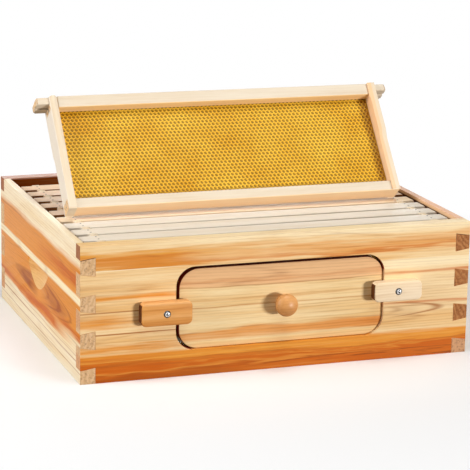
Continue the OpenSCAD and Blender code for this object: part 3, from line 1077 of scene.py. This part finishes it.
@dataclass
class HiveFrame:
    """One frame: top bar, end bars, bottom bar, foundation and the brads that hold it."""

    bench: Bench
    number: int
    finishes: FrameFinishes
    sheet: bpy.types.Mesh
    ease: float = 0.9 * MM
    top_ease: float = 1.4 * MM
    brad_r: float = 1.3 * MM
    brad_h: float = 0.35 * MM
    brad_taper: float = 0.8
    brad_sides: int = 14
    brad_inset: float = 5 * MM
    brad_spread: float = 6 * MM
    # Painted shade for the front side of the top bar, which lies deep in the gap between bars.
    shaded_sides: Material | None = None

    @property
    def body(self) -> str:
        """The body that the frame is."""
        return f"frame_{self.number}"

    def lean(self) -> float:
        """How far the frame leans back from upright.

        Returns:
            The angle, from the foundation's front face.
        """
        faces = frame["nodes"][f"{self.body}_foundation"].data.polygons
        front = max((f for f in faces if f.normal.y < 0), key=lambda f: f.area)
        return math.atan2(front.normal.z, -front.normal.y)

    def place(self) -> Matrix:
        """Where the middle of the foundation stands and how it is turned, for meshes made upright."""
        turn = Matrix.Rotation(-self.lean(), 4, "X")
        return Matrix.Translation(centre(f"{self.body}_foundation")) @ turn

    def up(self) -> Vector:
        """The direction of the frame's uprights."""
        return self.place().to_3x3() @ Grain.ALONG_Z.direction()

    def _bars(self) -> None:
        """Eases and dresses the four bars."""
        wood = self.finishes
        lengthwise = Grain.ALONG_X.direction()
        for bar, ease, fibres, along, across in (
            ("top_bar", self.top_ease, lengthwise, wood.top, wood.bar_ends),
            ("bottom_bar", self.ease, lengthwise, wood.bottom, wood.bar_ends),
            ("end_bars", self.ease, self.up(), wood.upright, wood.upright_ends),
        ):
            piece = self.bench.eased(f"{self.body}_{bar}", "frame_wood", ease, fibres, along, across)
            # Painted shade on the top bar's front side.
            if self.shaded_sides and bar == "top_bar":
                self.bench.stain(piece, self.shaded_sides, lambda face: face.normal.y < -FULLY)

    def _foundation(self) -> None:
        """Puts the embossed sheet in the frame."""
        bm = bmesh.new()
        bm.from_mesh(self.sheet)
        bmesh.ops.transform(bm, matrix=self.place(), verts=bm.verts)
        node = f"{self.body}_foundation"
        piece = self.bench.set_down(bm, f"{node}_cells", self.body, "foundation_wax", (self.finishes.comb,))
        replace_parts(piece, node)

    def _brads(self) -> None:
        """Adds the brad heads: two on top of each end and one in each end of the bottom bar."""
        middle = centre("frame_1_foundation")
        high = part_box("frame_1_end_bars")[1] - middle
        bar = centre("frame_1_bottom_bar") - middle
        bm = bmesh.new()
        for side in (-1, 1):
            for depth in (-self.brad_spread, self.brad_spread):
                self._brad(bm, Matrix.Translation((side * (high.x - self.brad_inset), depth, high.z)))
            turn = Matrix.Rotation(side * math.radians(90), 4, "Y")
            self._brad(bm, Matrix.Translation((side * high.x, 0, bar.z)) @ turn)
        bmesh.ops.transform(bm, matrix=self.place(), verts=bm.verts)
        self.bench.set_down(bm, f"{self.body}_brads", self.body, "screw_steel", (self.finishes.steel,))

    def _brad(self, bm: BMesh, place: Matrix) -> None:
        """Adds one brad head at a place in the wood's face, with Z outwards."""
        bmesh.ops.create_cone(bm, cap_ends=True, segments=self.brad_sides, radius1=self.brad_r,
                              radius2=self.brad_r * self.brad_taper, depth=self.brad_h, matrix=place)

    def build(self) -> None:
        """Builds the frame's pieces."""
        self._bars()
        self._foundation()
        self._brads()


@dataclass
class ShownFrame(HiveFrame):
    """The frame that leans on top, with painted light on the undersides of its bars and painted light and
    shade on the sides of its end bars.
    """

    # Pinker tones of this frame's own, made darker than the hung frames' pine as painted shade against the
    # stronger light on its leaning faces.
    pine: tuple[str, str, str] = ("#d8ccb8", "#cebca2", "#b8966c")
    post: tuple[str, str, str] = ("#decfb8", "#d8c5a8", "#c69e6e")
    # Painted reflection: golden light from the comb on the top bar's underside.
    comb_reflection: str = "#f2d09a"
    # Painted light: a light warm tan standing for bounced light on the bottom bar's shaded underside.
    tan: str = "#f3d7b0"
    # Painted shade on the inner side of the right end bar, which faces away from the key lamp.
    shaded_peach: str = "#e8c096"
    # Painted light on the outer side of the left end bar, which faces the side lamp.
    white: str = "#e6dbca"
    streak: str = "#c99a62"
    skin: float = 1.1 * MM
    post_t: float = 10.5 * MM

    def _underside(self, bar: str, colour: str) -> Stripes:
        """Painted light on the underside of a leaning bar, as the lowest skin of its wood.

        Args:
            bar: The bar's name.
            colour: The colour of the painted light on the underside.

        Returns:
            The underside and its streaks.
        """
        up = self.up()
        low = min(v.co.dot(up) for v in frame["nodes"][f"{self.body}_{bar}"].data.vertices)
        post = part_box(f"{self.body}_end_bars")[0].x + self.post_t
        top = (low + self.skin) / MM
        skin = Band(BELOW_ALL, top, colour, soft=0.2, start=post / MM, fade=0.5, rough=0.0)
        return skin, skin, replace(skin, colour=self.streak, strength=0.3, rough=1.5)

    def _bar_wood(self, bar: str, colour: str) -> Material:
        """Finish of a bar with painted light on its underside."""
        painted_light = self._underside(bar, colour)
        return WoodFinish(f"shown_{bar}_wood", Grain.ALONG_X, *self.pine, painted_light, self.lean(),
                          FAINT_LINES, wander=0.0).build()

    def _bars(self) -> None:
        """Eases and dresses the four bars in finishes that lean with them."""
        near, far = (corner.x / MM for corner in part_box(f"{self.body}_end_bars"))
        # Painted shade on the right end bar's inner side, and painted light on the left end bar's outer
        # side.
        shaded_inner_side = Band(far - 12, far - 4, self.shaded_peach, 1.2, soft=2, rough=6)
        lit = Band(near - 9, near + 0.8, self.white, 2.0, soft=0.3, rough=0.0)
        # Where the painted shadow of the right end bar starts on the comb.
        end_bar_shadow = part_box(f"{self.body}_foundation")[1].x - CombFinish.end_bar_shadow_reach
        self.finishes = replace(
            self.finishes,
            top=self._bar_wood("top_bar", self.comb_reflection),
            bottom=self._bar_wood("bottom_bar", self.tan),
            upright=WoodFinish("shown_end_bar_wood", Grain.ALONG_Z, *self.post, (shaded_inner_side, lit),
                               self.lean(), FAINT_LINES, wander=0.0).build(),
            # Painted light: very pale end grain on the end bars' ends, whose lower ends face down into
            # shade.
            upright_ends=EndGrainFinish("shown_end_bar_ends_painted_light", Grain.ALONG_Z, "#fff4e2", "#f8e8ce",
                                        "#d8bc94", turn=self.lean()).build(),
            comb=CombFinish("shown_comb", end_bar_shadow_from=end_bar_shadow).build(),
        )
        super()._bars()


@dataclass(frozen=True)
class Lamp:
    """A soft lamp: where it hangs, its width and height, and its power in watts."""

    name: str
    spot: tuple[float, float, float]
    size: tuple[float, float]
    power: float

    def hang(self, target: Vector) -> None:
        """Hangs the lamp.

        Args:
            target: The point that it is turned towards.
        """
        data = bpy.data.lights.new(self.name, "AREA")
        data.shape = "ELLIPSE"
        data.size, data.size_y = self.size
        data.energy = self.power
        lamp = stand(self.name, data)
        lamp.location = self.spot
        lamp.rotation_euler = (target - Vector(self.spot)).to_track_quat("-Z", "Y").to_euler()


@dataclass
class Studio:
    """White studio: camera at the photograph's viewing angle, floor, lamps and world."""

    azimuth: float = math.radians(-19.461)
    elevation: float = math.radians(13.535)
    roll: float = math.radians(1.034)
    distance: float = 2.713
    target: Vector = field(default_factory=lambda: Vector((12.9, 11.1, 119.3)) * MM)
    focal_px: float = 2068.8
    image_px: float = 470.0
    sensor: float = 36.0
    clip: float = 20.0
    floor_reach: float = 9.0
    floor_white: Colour = (0.95, 0.965, 0.98, 1.0)
    floor_bounce: Colour = (0.2, 0.16, 0.13, 1.0)
    shadow_reach: float = 0.4
    room_light: float = 0.12
    room_tint: Colour = (1.0, 0.85, 0.7, 1.0)
    lamps: tuple[Lamp, ...] = (
        Lamp("key", (6.9, -10.6, 0.7), (3.2, 0.8), 1330),
        Lamp("side", (-3.0, -0.3, 1.3), (2.2, 2.2), 94),
        Lamp("sky", (0.2, -0.8, 2.9), (1.8, 1.8), 45),
        Lamp("back", (1.2, 4.5, 0.3), (2.4, 0.5), 90),
    )

    def camera(self) -> None:
        """Stands the camera where the photograph was taken."""
        flat = math.cos(self.elevation)
        across, towards = math.sin(self.azimuth) * flat, -math.cos(self.azimuth) * flat
        back = Vector((across, towards, math.sin(self.elevation)))
        right = (-back).cross(Vector((0, 0, 1))).normalized()
        up = back.cross(right)
        turned_right = right * math.cos(self.roll) + up * math.sin(self.roll)
        turned_up = up * math.cos(self.roll) - right * math.sin(self.roll)
        data = bpy.data.cameras.new("camera")
        data.sensor_width = self.sensor
        data.lens = self.focal_px / self.image_px * self.sensor
        data.clip_end = self.clip
        camera = stand("camera", data)
        axes = Matrix((turned_right, turned_up, back)).transposed().to_4x4()
        camera.matrix_world = Matrix.Translation(self.target + back * self.distance) @ axes
        bpy.context.scene.camera = camera

    def floor(self) -> None:
        """Lays a plain pale floor that keeps the object's shadow and runs out to white."""
        bm = bmesh.new()
        bmesh.ops.create_grid(bm, x_segments=1, y_segments=1, size=self.floor_reach)
        shader = Shader.new("pale_floor")
        x, y, _ = shader.axes()
        far = (x ** 2 + y ** 2) ** 0.5
        seen = shader.rays("Camera", "Glossy")
        pale = shader.node("ShaderNodeBsdfDiffuse", inputs={"Color": self.floor_white})
        dim = shader.node("ShaderNodeBsdfDiffuse", inputs={"Color": self.floor_bounce})
        white = shader.node("ShaderNodeEmission", inputs={"Strength": 1.0})
        share = seen * far.spread(self.shadow_reach, self.shadow_reach * 2)
        matt = shader.node("ShaderNodeMixShader", inputs={0: seen, 1: dim, 2: pale})
        shade = shader.node("ShaderNodeMixShader", inputs={0: share, 1: matt, 2: white})
        floor = stand("floor", mesh_of(bm, "floor"))
        floor.data.materials.append(shader.end(shade))
        floor.location.z = CAD_BOX[0].z

    def world(self) -> None:
        """Lights the room dimly and warmly, and shows it as plain white, also in metal and glass."""
        world = bpy.data.worlds.new("studio")
        bpy.context.scene.world = world
        shader = Shader(world)
        plain = shader.rays("Camera", "Glossy", "Transmission")
        room = shader.node("ShaderNodeBackground", inputs={0: self.room_tint, 1: self.room_light})
        white = shader.node("ShaderNodeBackground", inputs={0: (1, 1, 1, 1), 1: 1.0})
        shader.end(shader.node("ShaderNodeMixShader", inputs={0: plain, 1: room, 2: white}))

    def build(self) -> None:
        """Sets up the studio."""
        self.camera()
        self.floor()
        self.world()
        for lamp in self.lamps:
            lamp.hang(self.target)
        bpy.context.scene.view_settings.view_transform = "Standard"


def main() -> None:
    """Builds the studio, then the object's sub-assemblies in order; each piece's face count is logged as it
    is made.
    """
    logging.basicConfig(level=logging.INFO, format="%(message)s")
    Studio().build()
    bench = Bench()
    steel = SteelFinish().build()
    brads = SteelFinish("brad_steel", "#4a443e", "#3a3430").build()
    shaded = WoodFinish("shaded_edge_wood", Grain.ALONG_X, "#4a2410", "#3a1a0a", "#241006").build()
    # Painted shade: dark wood for the front sides of the far frames' top bars, in the gaps.
    bar_gap_shade = WoodFinish("bar_gap_shade_wood", Grain.ALONG_X, "#8c5a34", "#7c4c2a", "#5a341a").build()
    # Painted shade: dark red-brown for the edges round the door's gap, which lie in shade.
    edges = WoodFinish("window_gap_shade_wood", Grain.ALONG_X, "#9c4228", "#88361e", "#622612").build()
    HiveBox(bench, shaded, edges).build()
    WindowDoor(bench, steel, edges).build()
    comb = CombFinish().build()
    cream = FrameFinishes.plain("cream_pine", ("#efe7da", "#e6dac6", "#cfb48e"), comb, brads)
    # Painted light: a tan copy of the pine, made lighter to stand for light in the leaning frame's shadow.
    tan = FrameFinishes.plain("lightened_tan_pine", ("#fbe6c8", "#f4dab4", "#d8b080"), comb, brads)
    # Painted shade: a warmer, darker copy of the cream pine for the frames behind the leaning one, which
    # lie in its shade.
    shaded_peach = FrameFinishes.plain("shaded_far_pine", ("#ecd0b0", "#e2bd98", "#c09468"), comb, brads)
    plain_sheet = Foundation().build(steps=False)
    for number in HUNG_FRAMES:
        if number <= LIGHTENED_FRAME:
            HiveFrame(bench, number, tan if number == LIGHTENED_FRAME else cream, plain_sheet).build()
        else:
            HiveFrame(bench, number, shaded_peach, plain_sheet, top_ease=FAR_EASE, shaded_sides=bar_gap_shade).build()
    ShownFrame(bench, SHOWN_FRAME, cream, Foundation().build(steps=True)).build()


if __name__ == "__main__":
    main()
